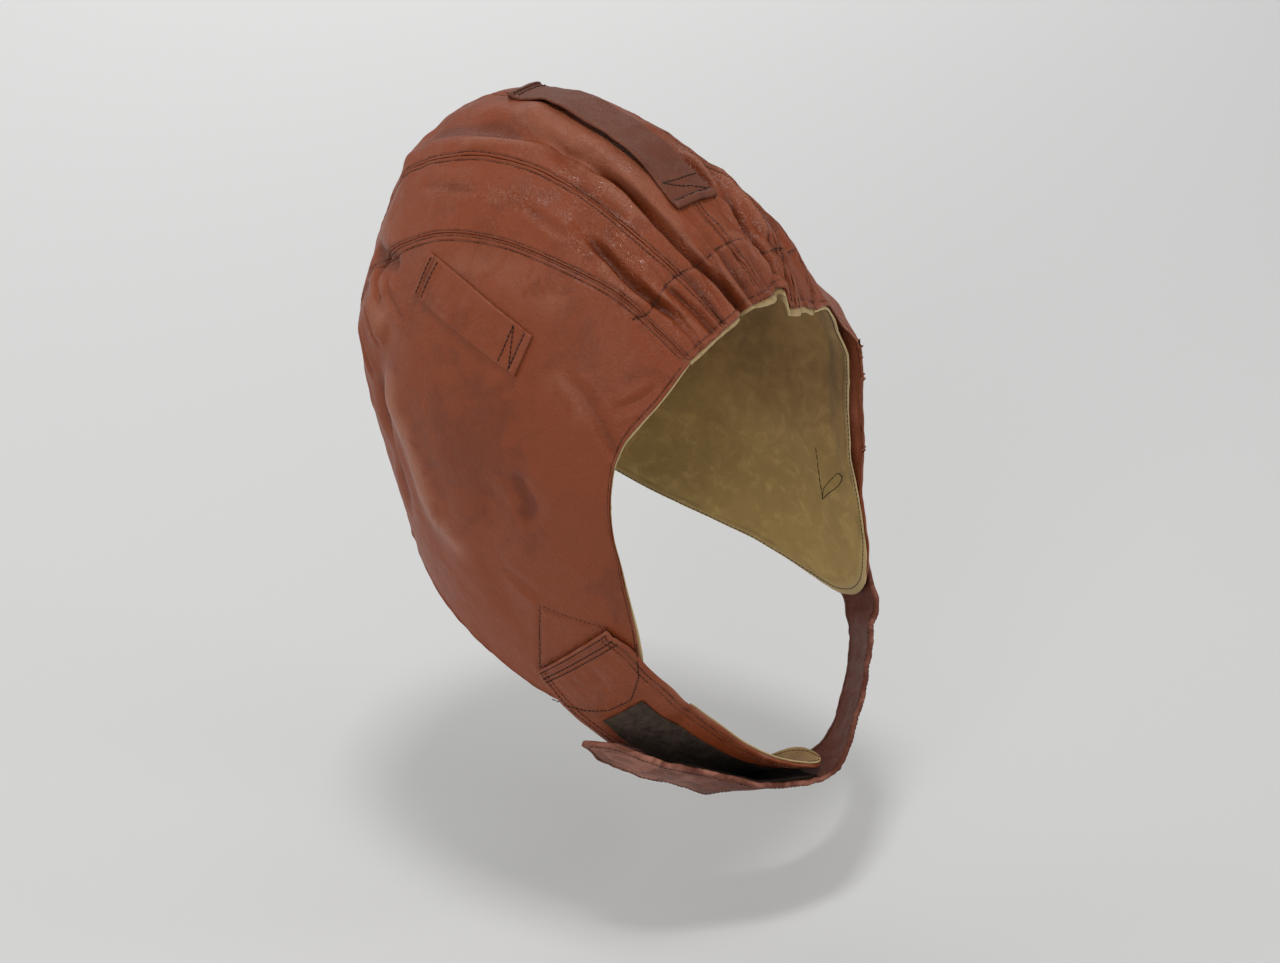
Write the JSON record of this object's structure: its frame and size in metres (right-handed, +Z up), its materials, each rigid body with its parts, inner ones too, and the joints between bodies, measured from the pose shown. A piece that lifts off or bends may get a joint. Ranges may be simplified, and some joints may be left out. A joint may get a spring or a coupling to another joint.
{
  "type": "leather flying helmet",
  "caption": "Close-fitting brown leather flying helmet with a chamois lining, long ear flaps, goggle-strap tabs and a closed chin strap.",
  "frame": {"origin": "highest point inside the crown, where the helmet rests on a head", "axes": "+Z up through the crown, -Y the way the face looks, +X the wearer's left"},
  "size_m": [0.1905, 0.2257, 0.3066],
  "materials": {
    "leather_brown": "semi-gloss, creased and worn",
    "leather_strap": "satin, dulled by handling",
    "chamois": "matt suede, soiled",
    "patch_fabric": "matt worn pile"
  },
  "bodies": {
    "root": {"ear_flap_right": "leather_brown", "side_panel_right": "leather_brown", "crown_panel_right": "leather_brown", "crown_panel_left": "leather_brown", "side_panel_left": "leather_brown", "ear_flap_left": "leather_brown", "lining": "chamois", "goggle_tab_right": "leather_brown", "goggle_tab_left": "leather_brown", "crown_loop": "leather_brown", "chin_strap_right": "leather_brown", "chin_strap_right_lining": "chamois", "chin_strap_right_patch": "patch_fabric", "chin_strap_left": "leather_strap", "chin_strap_left_patch": "patch_fabric"}
  },
  "joints": []
}
